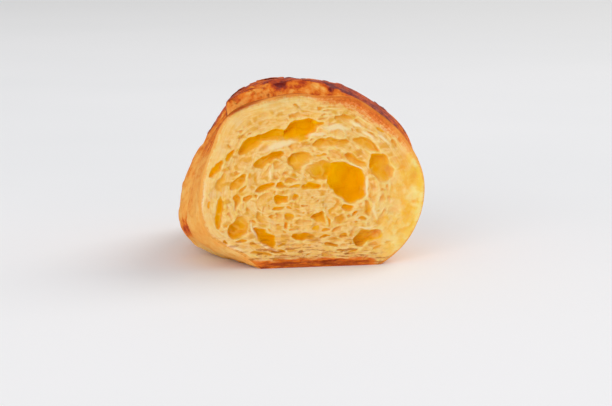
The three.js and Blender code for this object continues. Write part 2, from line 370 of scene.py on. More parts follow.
def fine_relief(degrees, along):
    """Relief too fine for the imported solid: the steps' thin layers, wrinkles and blisters."""
    from_middle = np.abs(along - CUT_TO_MIDDLE)
    radius = round_list(OUTLINE, degrees) * taper(from_middle)
    right, up = on_circle(radius, degrees)
    place = right, along, up
    x = band_place(degrees, from_middle)
    across = (x - np.round(x)) / bands_per_mm(from_middle)
    edge = step_edge(degrees, from_middle)
    waver = 2 * noise(place, 4, 5)
    layers = LAYER_RELIEF * edge * np.sin(2 * np.pi * across / LAYER + waver)
    turn = 2 * np.pi * x
    wrinkles = rough_noise((4 * np.cos(turn), 4 * np.sin(turn), (right + up) / 9), 1, 21)
    wrinkles = 0.10 * wrinkles * soft(1 - edge, 0.2, 0.8)
    blisters = 0.28 * soft(noise(place, 2.6, 31), 0.35, 0.8)
    dents = -0.35 * soft(noise(place, 6, 41), 0.25, 0.8)
    frayed = 0.35 * edge * noise(place, 1.6, 51)
    return layers + wrinkles + blisters + dents + frayed


def skin_radius(degrees, along, detail=True):
    """The skin's distance from the roll's centre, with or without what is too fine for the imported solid."""
    from_middle = np.abs(along - CUT_TO_MIDDLE)
    step = STEP_MIDDLE + (STEP_TIP - STEP_MIDDLE) * (from_middle / HALF_ROLL)
    drawn = round_list(DRAWN_IN, degrees) * np.maximum(0, 1 - along / DRAWN_LENGTH) ** 2
    rolled = round_list(OUTLINE, degrees) * taper(from_middle)
    relief = step * stair(degrees, from_middle, SHARP_RUN if detail else STEP_RUN)
    relief = relief + pillow(degrees, from_middle) + lumps(degrees, along)
    if detail:
        relief = relief + fine_relief(degrees, along) * soft(along, -0.4, 2.5)
    sunk = drawn + shoulder_hollow(degrees, along)
    return np.maximum(0, rolled + relief - sunk) * tip_closing(from_middle)


def skin_point(degrees, along, detail=True, inward=0.0):
    """Points of the skin, or that far inside it."""
    degrees, along = np.broadcast_arrays(np.asarray(degrees, float), np.asarray(along, float))
    from_middle = np.abs(along - CUT_TO_MIDDLE)
    share = along / LENGTH
    turned = np.arctan(2 * TIP_BEND * share / LENGTH)
    radius = skin_radius(degrees, along, detail) - inward
    across, up = on_circle(radius, degrees)
    centre = CENTRE_HEIGHT * taper(from_middle) + TIP_LIFT * soft(from_middle, HALF_ROLL / 2, HALF_ROLL)
    x = across * np.cos(turned) - TIP_BEND * share * share
    y = along + across * np.sin(turned) * soft(along, 0, LENGTH / 2)
    z = np.maximum(0, centre + up)
    return np.stack([x, y, z], -1)


def share_out(fine, weight, count, closed=False):
    """Places picked from a fine scale, closer together where the weight is larger."""
    total = np.concatenate([[0], np.cumsum((weight[1:] + weight[:-1]) / 2)])
    return np.interp(np.linspace(0, total[-1], count + closed)[:count], total, fine)


def columns_around():
    """Degrees at which the columns of points stand round the roll, fewer of them across the flat base."""
    fine = np.linspace(0, 360, 4000)
    on_base = soft(fine, 225, 240) * (1 - soft(fine, 300, 315))
    return share_out(fine, 1 - 0.65 * on_base, CRUST_AROUND, closed=True)


def rings_along(degrees):
    """Where the rings of points cross each of these angles: closer near the cut, at the tip and on steps."""
    fine = np.linspace(FIRST_RING, LENGTH - 0.05, 1500)
    weight = 1 + 1.2 * np.exp(-fine / 6) + 0.7 * np.exp(-(LENGTH - fine) / 5)
    rings = np.empty((CRUST_ALONG, len(degrees)))
    for column, angle in enumerate(degrees):
        here = weight + 2.2 * step_edge(angle, np.abs(fine - CUT_TO_MIDDLE))
        rings[:, column] = share_out(fine, here, CRUST_ALONG)
    near = range(-RING_BLEND, RING_BLEND + 1)
    return sum(np.roll(rings, k, axis=1) for k in near) / len(near)


def cut_radius(degrees):
    """Distance from the roll's centre to the skin on the cut face, with the base cut flat by the table."""
    radius = skin_radius(degrees, np.zeros_like(degrees))
    down = np.maximum(1e-6, -np.sin(np.radians(degrees)))
    return np.minimum(radius, CENTRE_HEIGHT / down)


def square_to_disc(a, b):
    """The concentric map from a square to a disc: the share of the radius, and the angle in degrees."""
    wide = np.abs(a) >= np.abs(b)
    share = np.where(wide, np.abs(a), np.abs(b))
    safe_a = np.where(a == 0, 1e-12, a)
    safe_b = np.where(b == 0, 1e-12, b)
    sideways = 45 * b / safe_a + np.where(a < 0, 180, 0)
    upward = 90 - 45 * a / safe_b + np.where(b < 0, 180, 0)
    return share, np.where(wide, sideways, upward) % 360


def reach_share(x, z):
    """Where a point of the cut lies between the spiral's centre, 0, and the skin, 1, and its angle there."""
    ring = np.arange(0, 360, 0.5)
    right, up = on_circle(cut_radius(ring), ring)
    rx, rz = right - SPIRAL_CENTRE[0], up + CENTRE_HEIGHT - SPIRAL_CENTRE[1]
    seen = angle_of(rx, rz)
    order = np.argsort(seen)
    dx, dz = x - SPIRAL_CENTRE[0], z - SPIRAL_CENTRE[1]
    angle = angle_of(dx, dz)
    far = np.interp(angle, seen[order], np.hypot(rx, rz)[order], period=360)
    return np.hypot(dx, dz) / far, angle


def to_skin(x, z):
    """Distance from a point of the cut face to the skin, roughly, in millimetres."""
    radial = cut_radius(centre_angle(x, z)) - np.hypot(x, z - CENTRE_HEIGHT)
    return np.minimum(radial, z)


def turned(dx, dz, tilt):
    """How far a step goes along and across a direction that is given in degrees."""
    cos, sin = np.cos(np.radians(tilt)), np.sin(np.radians(tilt))
    return dx * cos + dz * sin, dz * cos - dx * sin


def ring_tilt(x, z):
    """The direction in which the dough's layers run at a point of the cut face, in degrees."""
    step = 0.3
    gx = reach_share(x + step, z)[0] - reach_share(x - step, z)[0]
    gz = reach_share(x, z + step)[0] - reach_share(x, z - step)[0]
    return np.degrees(np.arctan2(gz, gx)) + 90


def rim_width(angle):
    """How wide the dense dough under the crust is at an angle seen from the roll's centre."""
    return round_list(RIM, angle)


def quiet_side(x, z):
    """How smooth the crumb is: 1 in the dense part at the right of the cut, 0 elsewhere."""
    return soft(x + 0.16 * (20 - z), 23.5, 28.5)


def centre_angle(x, z):
    """The angle in degrees at which a point of the cut is seen from the roll's centre."""
    return angle_of(x, z - CENTRE_HEIGHT)


def random_cells(random, tries, lengths, heights, depths, margin):
    """Rows for cells that lie along the roll, clear of the rim but not yet of each other."""
    x = random.uniform(-34, 34, tries)
    z = random.uniform(0, 53, tries)
    share, _ = reach_share(x, z)
    half = random.uniform(*lengths, tries)
    flat = random.uniform(*heights, tries)
    deep = random.uniform(*depths, tries)
    way = random.normal(110, 50, tries)
    # cells are smaller round the spiral's centre, flatter near the skin, and shallow in the quiet part
    size = mix(0.45, 1.0, soft(share, 0.05, 0.5))
    half = half * size
    flat = np.minimum(flat * size * mix(1.15, 0.7, soft(share, 0.55, 0.95)), half * 0.8)
    deep = deep * mix(1.7, 1, soft(share, 0.4, 0.75)) * mix(1, 0.35, quiet_side(x, z))
    tilt = ring_tilt(x, z) + random.normal(0, 9, tries)
    fits = to_skin(x, z) > rim_width(centre_angle(x, z)) * margin + flat
    fits = fits & (random.random(tries) > 0.5 * quiet_side(x, z))
    return np.stack([x, z, half, flat, deep, tilt, way, 0 * x], -1)[fits]


def stands_clear(row, placed):
    """Whether a cell lies beside all those that are placed already."""
    along, across = turned(row[X] - placed[:, X], row[Z] - placed[:, Z], placed[:, TILT])
    u = along / (placed[:, HALF] + row[HALF] * 0.85)
    v = across / (placed[:, FLAT] + row[FLAT] * 0.85)
    return np.all(u * u + v * v > 1)


def scatter_cells(random, named):
    """The named cells and, in what they leave, random ones of each sort, the largest first."""
    placed = np.array(named, float)
    for sort in CELL_SORTS:
        for row in random_cells(random, *sort):
            if stands_clear(row, placed):
                placed = np.vstack([placed, row])
    return placed


def in_cell(x, z, cells):
    """Where points lie in cells, as shares of the half length and the half height."""
    along, across = turned(x - cells[..., X], z - cells[..., Z], cells[..., TILT])
    return along / cells[..., HALF], across / cells[..., FLAT]


def out_of_cell(u, v, cell):
    """The direction straight out of a cell at a place given as shares of its half length and half height."""
    gu, gv = u / cell[:, HALF], v / cell[:, FLAT]
    length = np.hypot(gu, gv) + 1e-9
    out_x, out_z = turned(gu, gv, -cell[:, TILT])
    return out_x / length, out_z / length


def cell_field(x, z, cells):
    """How many millimetres each point lies inside a cell, the way further in, and which cell it is."""
    inside, way_x, way_z = (np.empty(len(x)) for _ in range(3))
    nearest = np.empty(len(x), int)
    opening = np.cumsum(cells[:, OPENS] == 0)
    for start in range(0, len(x), POINTS_AT_ONCE):
        part = slice(start, start + POINTS_AT_ONCE)
        u, v = in_cell(x[part, None], z[part, None], cells)
        size = np.hypot(u, v) + 1e-9
        slope = np.hypot(u / cells[:, HALF], v / cells[:, FLAT]) / size + 1e-9
        outside = (size - 1) / slope
        rows = np.arange(len(outside))
        first = np.argmin(outside, axis=1)
        joined = opening[None, :] == opening[first][:, None]
        other = np.argmin(np.where(joined, np.inf, outside), axis=1)

        n1, n2 = (out_of_cell(u[rows, k], v[rows, k], cells[k]) for k in (first, other))
        to_wall = (outside[rows, other] - outside[rows, first]) / 2 - WALL / 2
        to_edge = np.where(first < len(CELLS), CELL_REACH, FILLER_REACH) - outside[rows, first]
        walled = to_wall < to_edge
        inside[part] = np.where(walled, to_wall, to_edge)
        away = np.where(walled, n2[0] - n1[0], -n1[0]), np.where(walled, n2[1] - n1[1], -n1[1])
        length = np.hypot(*away) + 1e-9
        way_x[part], way_z[part] = away[0] / length, away[1] / length
        nearest[part] = first
    return inside, (way_x, way_z), nearest


def wandering(x, z):
    """The cells' coordinates with the walls' unevenness in them."""
    place = x, z, 0 * x
    wx = x + 0.8 * noise(place, 3.2, 61) + 0.2 * noise(place, 1.2, 62)
    wz = z + 0.6 * noise(place, 3.2, 63) + 0.2 * noise(place, 1.2, 64)
    return wx, wz


def floor_depth(x, z, nearest, cells):
    """How deep each point's cell floor is: it slants, and runs smoothly into an open neighbour."""
    opening = np.cumsum(cells[:, OPENS] == 0)
    total, weights = np.zeros(len(x)), np.zeros(len(x))
    for step in (-2, -1, 0, 1, 2):
        k = np.clip(nearest + step, 0, len(cells) - 1)
        u, v = in_cell(x, z, cells[k])
        toward_deep, _ = turned(u, v, cells[k, WAY] - cells[k, TILT])
        slant = np.clip(1 + SLANT * toward_deep, 0.06, 1.6)
        joined = (opening[k] == opening[nearest]) & (k == nearest + step)
        weight = np.exp(-OPEN_BLEND * np.hypot(u, v)) * joined
        total, weights = total + weight * cells[k, DEEP] * slant, weights + weight
    return total / weights


def leaves(x, z):
    """Thin leaves of dough that lie flat just over the base: 1 on a leaf's edge, 0 between two."""
    wave = noise((x / 7, z / 1.3, 0 * x), 1, 71) + 0.6 * noise((x / 2.5, z / 0.6, 0 * x), 1, 72)
    return np.clip(0.5 + 0.9 * wave, 0, 1)


def wall_behind(wx, wz, behind, t):
    """The rim of another bubble that shows on the floor of the large ones, from 0 to 1."""
    within, _, _ = cell_field(wx + 1.3, wz - 0.7, behind)
    return hump(np.maximum(0, within + WALL / 2), 0.28) * soft(t, 0.3, 0.9)


def crumb_ground(x, z):
    """The cut's own unevenness between the cells: ragged all over, and in leaves over the base."""
    over_base = (1 - soft(z, 2.6, 4.6)) * soft(x, -19, -14) * (1 - soft(x, 19, 24))
    place = x, z, 0 * x
    ragged = 0.5 * noise(place, 7, 80)
    ragged = ragged + 0.25 * rough_noise(place, 3.1, 81) + 0.1 * rough_noise(place, 0.7, 82)
    return ragged, over_base * (0.9 - 1.3 * leaves(x, z))


def crumb_depth(x, z, cells, behind):
    """How deep the cut lies at each point, how much it is a wall's rim, which gets a painted highlight, or a
    wall behind, and how much painted amber light it gets.
    """
    place = x, z, 0 * x
    wx, wz = wandering(x, z)
    inside, _, nearest = cell_field(wx, wz, cells)
    wanted = floor_depth(wx, wz, nearest, cells)
    flat, deep = cells[nearest, FLAT], cells[nearest, DEEP]
    filler = nearest >= len(CELLS)
    inside = inside - filler * (0.12 + 0.3 * rough_noise(place, 1.7, 85))
    floor = np.minimum(wanted, 0.25 + 1.05 * flat)
    t = np.clip(inside / np.minimum(flat * 0.9, 0.4 + floor * 0.4), 0, 1)
    # painted light: amber stands in for light passing through and bouncing in the cells; the deepest cells
    # are amber all over, the others more so where they are deeper
    whole = soft(deep, 3.4, 4.3)
    amber = (1 - (1 - t) ** 2) * mix(wanted, np.maximum(wanted, deep), whole) / AMBER_DEPTH
    ridge = wall_behind(wx, wz, behind, t)
    ridge = ridge * soft(noise(place, 4, 84), -0.3, 0.5) * ~np.isin(nearest, NO_WALL_BEHIND)
    bowl = floor * (1 - (1 - t) ** 2.5) * (1 - 0.12 * ridge)
    sunk = soft(noise(place, 3.3, 83), -0.1, 0.7) * soft(inside, -1.2, -0.1)
    # rim: where the cells' edges get a painted highlight, stronger round deeper cells
    rim = (1 - soft(inside, -0.1, 0.3)) * (1 - 0.6 * sunk) * mix(0.1, 1, soft(wanted, 0.7, 2.4))
    ragged, leafy = crumb_ground(x, z)
    return np.maximum(0.7 * sunk, bowl) + ragged + leafy, rim, ridge, np.clip(amber, 0, 1)


def pale_share(x, z):
    """How much a point belongs to one of the smooth pale walls."""
    share = np.zeros(len(x))
    wx, wz = wandering(x, z)
    for cx, cz, half, flat, tilt in PALE_WALLS:
        along, across = turned(wx - cx, wz - cz, tilt)
        share = np.maximum(share, 1 - soft(np.hypot(along / half, across / flat), 0.4, 1.3))
    return share


def pull_to_walls(x, z, cells):
    """Moves the grid's points closer together near the walls, which need them most."""
    for _ in range(2):
        wx, wz = wandering(x, z)
        inside, way, _ = cell_field(wx, wz, cells)
        from_middle_of_wall = np.maximum(0, inside + WALL / 2)
        pull = 0.38 * from_middle_of_wall * np.exp(-from_middle_of_wall / 0.45)
        x, z = x - way[0] * pull, z - way[1] * pull
    return x, z


def tongue_crease(x, z):
    """The dark crease on the cut under the tongue's end, and what lies over it, the tongue's own edge."""
    angle = centre_angle(x, z)
    turn = angle - CREASE_START
    over = np.hypot(x, z - CENTRE_HEIGHT) - (CREASE_RADIUS + 0.045 * turn + 0.00135 * turn**2)
    width = 0.28 + 0.5 * hump(angle - 126, 10)
    there = soft(angle, 90, 104) * (1 - soft(angle, 137, 141))
    return there * hump(over, width), there * soft(over, -0.1, 0.5)


def crumb_grid(cells, behind):
    """The points of the cut face and what its material needs to know of each."""
    side = np.linspace(-1, 1, CRUMB_SIDE)
    a, b = np.meshgrid(side, side, indexing="ij")
    share, angle = square_to_disc(a.ravel(), b.ravel())
    x, up = on_circle(cut_radius(angle) * share, angle)
    z = up + CENTRE_HEIGHT
    inner = soft(to_skin(x, z), 0.5, 1.5)
    pulled_x, pulled_z = pull_to_walls(x, z, cells)
    x, z = mix(x, pulled_x, inner), mix(z, pulled_z, inner)
    skin = to_skin(x, z)
    depth, rim, ridge, amber = crumb_depth(x, z, cells, behind)
    pale = pale_share(x, z)
    crease, over = tongue_crease(x, z)
    off_rim = soft(skin, 0, 0.9)
    y = depth * off_rim * (1 - 0.75 * pale) + (0.7 * crease - 0.3 * over) * off_rim
    # foot: the lowest band of the cut, browned and with painted shade at the very bottom
    foot = (1 - soft(z, 1.2, 3.6)) * soft(x, -22, -15) * (1 - soft(x, 17, 24))
    # glow: the lower right of the cut, which gets a painted glow in its colour and wider subsurface
    # scattering
    glow = soft(x + 0.25 * (24 - z), 16, 34) * (1 - soft(z, 28, 38)) * soft(z, 0, 7)
    values = dict(skin=skin, amber=amber * (1 - pale), rim=rim, ridge=ridge, pale=pale)
    values.update(foot=foot, glow=glow, crease=crease, over=over)
    return np.stack([x, y, z], -1), values


def grid_faces(rows, columns, start=0, wrap=False):
    """Two triangles for each square of a grid of points."""
    i, j = np.meshgrid(np.arange(rows - 1), np.arange(columns if wrap else columns - 1), indexing="ij")
    i, j = i.ravel(), j.ravel()
    k = (j + 1) % columns
    a, b, c, d = i * columns + j, (i + 1) * columns + j, (i + 1) * columns + k, i * columns + k
    return np.concatenate([np.stack([a, b, c], -1), np.stack([a, c, d], -1)]) + start


def zip_rings(inner, inner_angle, outer, outer_angle):
    """Triangles between two closed rings of points, both in order of their angle."""
    inner, outer = [*inner, inner[0]], [*outer, outer[0]]
    inner_angle = [*inner_angle, inner_angle[0] + 360, math.inf]
    outer_angle = [*outer_angle, outer_angle[0] + 360, math.inf]
    faces, i, j = [], 0, 0
    while i + 1 < len(inner) or j + 1 < len(outer):
        if inner_angle[i + 1] <= outer_angle[j + 1]:
            faces.append((inner[i], outer[j], inner[i + 1]))
            i += 1
        else:
            faces.append((inner[i], outer[j], outer[j + 1]))
            j += 1
    return np.array(faces)


def in_order(index, points):
    """The points' numbers in the order of their angle round the roll, and these angles."""
    angle = centre_angle(points[:, 0], points[:, 2])
    turn = np.argsort(angle)
    return index[turn], angle[turn]


def croissant_mesh(cells, behind):
    """The whole half as one closed surface: the cut face, the crust and the tip."""
    face, values = crumb_grid(cells, behind)
    start, n = len(face), CRUMB_SIDE
    index = np.arange(n * n).reshape(n, n)
    border = np.concatenate([index[:-1, 0], index[-1, :-1], index[:0:-1, -1], index[0, :0:-1]])

    degrees = columns_around()
    along = rings_along(degrees)
    crust = skin_point(degrees[None, :], along).reshape(-1, 3)
    first = start + np.arange(CRUST_AROUND)
    last = first + (CRUST_ALONG - 1) * CRUST_AROUND
    seam = zip_rings(*in_order(border, face[border]), *in_order(first, crust[:CRUST_AROUND]))
    rings = grid_faces(CRUST_ALONG, CRUST_AROUND, start, wrap=True)
    fan = np.stack([last, np.full(CRUST_AROUND, start + len(crust)), np.roll(last, -1)], -1)

    points = np.concatenate([face, crust, skin_point(0.0, LENGTH)[None, :]])
    face_tris = grid_faces(n, n)
    tris = np.concatenate([face_tris, seam, rings, fan])
    is_crust = np.arange(len(tris)) >= len(face_tris)
    angles = [centre_angle(face[:, 0], face[:, 2]), np.tile(degrees, CRUST_ALONG), [0]]
    values = {key: np.concatenate([column, np.zeros(len(crust) + 1)]) for key, column in values.items()}
    values["degrees"] = np.concatenate(angles)
    values["along"] = np.concatenate([0 * face[:, 0], along.ravel(), [LENGTH]])
    return points, tris, is_crust, values


def flake_mesh(degrees, along, leaf, size, random):
    """A thin leaf of crust that lies on the skin and lifts along one side."""
    wide, long, most_lift, thick = leaf
    lift = most_lift * random.random()
    rows, columns = FLAKE_GRID
    p, q = (v.ravel() for v in np.meshgrid(np.linspace(-1, 1, columns), np.linspace(-1, 1, rows)))
    body = np.sqrt(np.maximum(0, (1 - p**4) * (1 - q**4)))
    torn = 1 + 0.35 * noise((p * 2 + random.uniform(0, 99), q * 2, 0 * p), 1, 11)
    radius = max(4.0, float(skin_radius(degrees, along, False)))
    turn = degrees + np.degrees(p * (wide * size) / 2 / radius * torn)
    place = np.clip(along + q * (long * size) / 2 * torn, 0.1, LENGTH - 1)
    loose = q * math.copysign(1, CUT_TO_MIDDLE - along) + 0.3 * p
    rise = 0.05 + lift * soft(loose, -0.6, 1.3) ** 1.5
    low, high = (skin_point(turn, place, inward=-(rise + side * thick * body)) for side in (0, 1))
    points = np.concatenate([high, low])
    tris = np.concatenate([grid_faces(rows, columns), grid_faces(rows, columns, len(p))[:, ::-1]])
    return points, tris, np.tile(turn, 2), np.tile(place, 2)


def flakes(random):
    """Leaves of crust that stand off the tongue and, mostly, off the edges of the steps."""
    parts = []
    for _ in range(TONGUE_FLAKES):
        degrees, along = random.uniform(88, 138), random.uniform(0.9, 6.5)
        parts.append(flake_mesh(degrees, along, TONGUE_LEAF, random.uniform(0.5, 1.5), random))
    while len(parts) < FLAKES:
        degrees, along = random.uniform(-20, 150), random.uniform(0.3, 62)
        edge = float(step_edge(degrees, abs(along - CUT_TO_MIDDLE)))
        if random.random() < 0.04 + 0.96 * edge:
            parts.append(flake_mesh(degrees, along, STEP_LEAF, random.uniform(0.6, 1.6), random))
    starts = np.cumsum([0] + [len(part[0]) for part in parts[:-1]])
    tris = np.concatenate([part[1] + start for part, start in zip(parts, starts)])
    points, angles, places = (np.concatenate([part[k] for part in parts]) for k in (0, 2, 3))
    return points, tris, {"degrees": angles, "along": places}


def shift_to_frame():
    """From the cut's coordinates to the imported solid's, in millimetres."""
    low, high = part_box(NODE)
    degrees, along = np.linspace(0, 360, 361)[None, :], np.linspace(0, LENGTH, 149)[:, None]
    smooth = skin_point(degrees, along, detail=False)
    middle = (smooth[..., 0].min() + smooth[..., 0].max()) / 2
    return np.array([(low.x + high.x) / 2 / MM - middle, low.y / MM, low.z / MM])


def outward(points, tris):
    """Triangles turned so that the surface faces out."""
    a, b, c = (points[tris[:, k]] for k in range(3))
    volume = np.einsum("ij,ij->i", a, np.cross(b, c)).sum()
    return tris if volume > 0 else tris[:, ::-1]


def sharpen_seam(mesh, tris, is_crust):
    """Marks the edges where crumb and crust meet as sharp, so that neither is shaded into the other."""
    on_crumb, on_crust = (np.zeros(len(mesh.vertices), bool) for _ in range(2))
    on_crumb[tris[~is_crust].ravel()] = True
    on_crust[tris[is_crust].ravel()] = True
    ends = np.empty(len(mesh.edges) * 2, np.int32)
    mesh.edges.foreach_get("vertices", ends)
    seam = (on_crumb & on_crust)[ends.reshape(-1, 2)].all(axis=1)
    mesh.edges.foreach_set("use_edge_sharp", seam)


def add_object(name, data):
    """A new object of the scene with this mesh, light or camera."""
    obj = bpy.data.objects.new(name, data)
    bpy.context.scene.collection.objects.link(obj)
    return obj


def make_object(name, points, tris, materials, values, is_crust=None):
    """A smooth mesh object with a value of each sort at each point, and the second material on the crust."""
    mesh = bpy.data.meshes.new(name)
    mesh.from_pydata((points * MM).tolist(), [], tris.tolist(), shade_flat=False)
    for material in materials:
        mesh.materials.append(material)
    if is_crust is not None:
        mesh.polygons.foreach_set("material_index", is_crust.astype(np.int32))
        sharpen_seam(mesh, tris, is_crust)
    for key, column in values.items():
        attribute = mesh.attributes.new(key, "FLOAT", "POINT")
        attribute.data.foreach_set("value", column.astype(np.float32))
    mesh.validate()
    return add_object(name, mesh)


class Nodes:
    """A material and short ways to add its nodes."""

    def __init__(self, name):
        self.material = bpy.data.materials.new(name)
        self.material.use_nodes = True
        self.tree = self.material.node_tree
        self.tree.nodes.clear()
        self.shader = self.add("BsdfPrincipled")
        self.add("OutputMaterial", {"Surface": self.shader.outputs[0]})

    def feed(self, value, socket):
        """Links another node's result to an input, or sets its value."""
        if isinstance(value, bpy.types.NodeSocket):
            self.tree.links.new(value, socket)
        else:
            socket.default_value = value

    def set(self, name, value):
        """Gives one of the surface's inputs a value or a node's result."""
        self.feed(value, self.shader.inputs[name])

    def add(self, kind, inputs=(), **settings):
        """A new node with these settings, its inputs given by name or number."""
        node = self.tree.nodes.new("ShaderNode" + kind)
        for name, value in settings.items():
            setattr(node, name, value)
        for name, value in dict(inputs).items():
            self.feed(value, node.inputs[name])
        return node

    def attribute(self, name):
        return self.add("Attribute", attribute_name=name).outputs["Fac"]

    def place(self):
        return self.add("TexCoord").outputs["Object"]

    def noise(self, scale, detail=3.0, rough=0.55, vector=None, distortion=0.0):
        inputs = {"Vector": vector or self.place(), "Scale": scale, "Detail": detail}
        inputs.update({"Roughness": rough, "Distortion": distortion})
        return self.add("TexNoise", inputs).outputs["Fac"]

    def math(self, operation, a, b=0.0, clamp=False):
        return self.add("Math", {0: a, 1: b}, operation=operation, use_clamp=clamp).outputs[0]

    def times(self, a, b):
        return self.math("MULTIPLY", a, b)

    def plus(self, a, b):
        return self.math("ADD", a, b)

    def swing(self, value, strength):
        """A noise from 0 to 1 made to swing round 0."""
        return self.times(self.math("SUBTRACT", value, 0.5), strength)

    def range(self, value, low, high, to_low=0.0, to_high=1.0):
        """Goes smoothly from one value to another as the input goes from low to high."""
        inputs = {"Value": value, "From Min": low, "From Max": high, "To Min": to_low, "To Max": to_high}
        return self.add("MapRange", inputs, interpolation_type="SMOOTHSTEP").outputs["Result"]

    def ramp(self, value, stops):
        """The colour that a list of places and colours gives for a value."""
        node = self.add("ValToRGB", {"Fac": value})
        elements = node.color_ramp.elements
        while len(elements) < len(stops):
            elements.new(0.5)
        for element, (at, colour) in zip(elements, stops):
            element.position = at
            element.color = (*colour, 1)
        return node.outputs["Color"]

    def blend(self, share, a, b):
        """Colour a, and colour b where the share is 1."""
        a, b = ((*value, 1) if isinstance(value, tuple) else value for value in (a, b))
        return self.add("Mix", {"Factor": share, "A": a, "B": b}, data_type="RGBA").outputs["Result"]

    def stretched(self, scale):
        """The object's coordinates, each times its own scale."""
        return self.add("Mapping", {"Vector": self.place(), "Scale": scale}).outputs[0]

    def bubbles(self):
        """How far a point lies from the walls between faint bubbles, a little wider than high."""
        warp = self.swing(self.noise(260.0, 2.0), 1.5)
        across = self.plus(self.toward((300.0, 0.0, 60.0)), warp)
        up = self.plus(self.toward((-60.0, 0.0, 520.0)), warp)
        inputs = {"Vector": self.vector(across, up, 0.0), "Scale": 1.0}
        return self.add("TexVoronoi", inputs, feature="DISTANCE_TO_EDGE").outputs["Distance"]

    def toward(self, way):
        """How far a point lies along a direction, in metres where its length is 1."""
        return self.add("VectorMath", {0: self.place(), 1: way}, operation="DOT_PRODUCT").outputs["Value"]

    def vector(self, x, y, z):
        return self.add("CombineXYZ", {0: x, 1: y, 2: z}).outputs[0]

    def bump(self, height, distance, strength=1.0, after=None):
        """A normal that follows a height, on top of another one."""
        inputs = {"Height": height, "Distance": distance, "Strength": strength}
        if after is not None:
            inputs["Normal"] = after
        return self.add("Bump", inputs).outputs[0]


def srgb(*colour):
    """A colour given as in a picture, 0 to 255, as the shader wants it."""
    return tuple(((v / 255 + 0.055) / 1.055) ** 2.4 if v > 10 else v / 255 / 12.92 for v in colour)


# Crumb
CREAM = srgb(250, 215, 150)
PALE = srgb(253, 224, 176)
DOUGH = srgb(245, 196, 102)
# HONEY: painted shade and bounced light in the hollows of faint bubbles
HONEY = srgb(230, 166, 26)
# GAP_SHADE: painted shade in the gaps and deep cells just over the base
GAP_SHADE = srgb(190, 108, 18)
# GOLDEN, AMBER and DEEP_AMBER: painted light, the colours of light passing through and bouncing in the cells
GOLDEN = srgb(243, 184, 58)
AMBER = srgb(250, 188, 40)
DEEP_AMBER = srgb(252, 180, 0)
# Painted glow: colours of the crumb where light comes through it
PAINTED_GLOW = srgb(255, 222, 146)
PAINTED_DEEP_GLOW = srgb(253, 194, 58)
# Baked rim of the cut, its foot, browned with painted shade at the bottom, and the dark crease under the
# tongue
LIGHT_TOAST = srgb(244, 172, 80)
TOAST = srgb(234, 124, 30)
BROWN = srgb(172, 72, 20)
CREASE_DARK = srgb(172, 58, 4)
# Crust, from pale to dark, and how brown each is
CRUST = [
    (0.0, srgb(255, 214, 136)),
    (0.22, srgb(250, 180, 90)),
    (0.45, srgb(236, 128, 40)),
    (0.66, srgb(196, 72, 20)),
    (0.92, srgb(112, 18, 8)),
]

PAPER = [srgb(240, 241, 243), srgb(246, 246, 248)]
# FAR_PAPER_SHADE is painted shade: the paper darkens towards the back right
FAR_PAPER_SHADE = srgb(229, 229, 229)  # at the back right
PAPER_HALF = 6  # metres

# Spots of the skin baked darker or lighter: degrees, distance from the cut, spread of each, strength.
SPOTS = [
    (105, 2.6, 3.4, 1.3, 0.5),
    (72, 2.2, 9, 1.2, 0.25),
    (113, 5.0, 4, 1.4, -0.3),
    (96, 4.2, 5, 1.2, -0.25),
    (203, 16, 4, 5, 0.35),
    (131, 9, 3, 3, 0.3),
    (86, 1.4, 3, 0.8, -0.2),
]
# How far the browning reaches into the cut face, in millimetres, and how brown the skin is, from 0 to 1.
# Both go evenly round the roll from the right, anticlockwise.
TOAST_REACH = [0.5, 2.2, 4.8, 4.2, 1.6, 2.0, 1.4, 1.0, 1.2, 1.2, 1.0, 1.6, 1.6, 1.4, 0.5, 0.3]
SKIN_BAKE = [0.3, 0.48, 0.58, 0.6, 0.55, 0.5, 0.5, 0.4, 0.3, 0.24, 0.2, 0.42, 0.74, 0.6, 0.26, 0.16]


def crumb_dough(m, skin, streaks, mottled):
    """Pale dough, streaked along the roll, with faint bubbles away from the crust whose hollows get painted
    shade and bounced light in honey.
    """
    tone = m.plus(m.times(streaks, 0.6), m.times(mottled, 0.4))
    dough = m.blend(m.range(tone, 0.38, 0.62), DOUGH, CREAM)
    # faint bubbles: painted honey colour of their hollows
    faint = m.times(m.range(m.bubbles(), 0.03, 0.3), m.range(m.noise(240.0, 2.0), 0.34, 0.52))
    return m.blend(m.times(faint, m.range(skin, 2.0, 6.0, 0.1, 0.8)), dough, HONEY)


def cell_colour(m, colour, amber, mottled):
    """Painted light: deeper yellow the deeper a cell is, for light passing through and bouncing in it, a
    painted highlight on its rim, and pale on thin walls.
    """
    sunk = m.plus(amber, m.swing(mottled, 0.25))
    for low, high, deeper in ((0.03, 0.3, GOLDEN), (0.2, 0.6, AMBER), (0.42, 0.8, DEEP_AMBER)):
        colour = m.blend(m.range(sunk, low, high), colour, deeper)
    colour = m.blend(m.times(m.attribute("ridge"), 0.2), colour, CREAM)
    # painted highlight on the cells' rims
    colour = m.blend(m.times(m.attribute("rim"), 0.32), colour, CREAM)
    return m.blend(m.attribute("pale"), colour, PALE)


def painted_glow(m, colour, glow):
    """Painted glow: light and deep yellow patches that stand in for light coming through the dough."""
    # painted glow
    lit = m.blend(m.range(m.noise(230.0, 3.0, 0.55), 0.4, 0.6), PAINTED_GLOW, PAINTED_DEEP_GLOW)
    return m.blend(m.times(glow, 0.8), colour, lit)


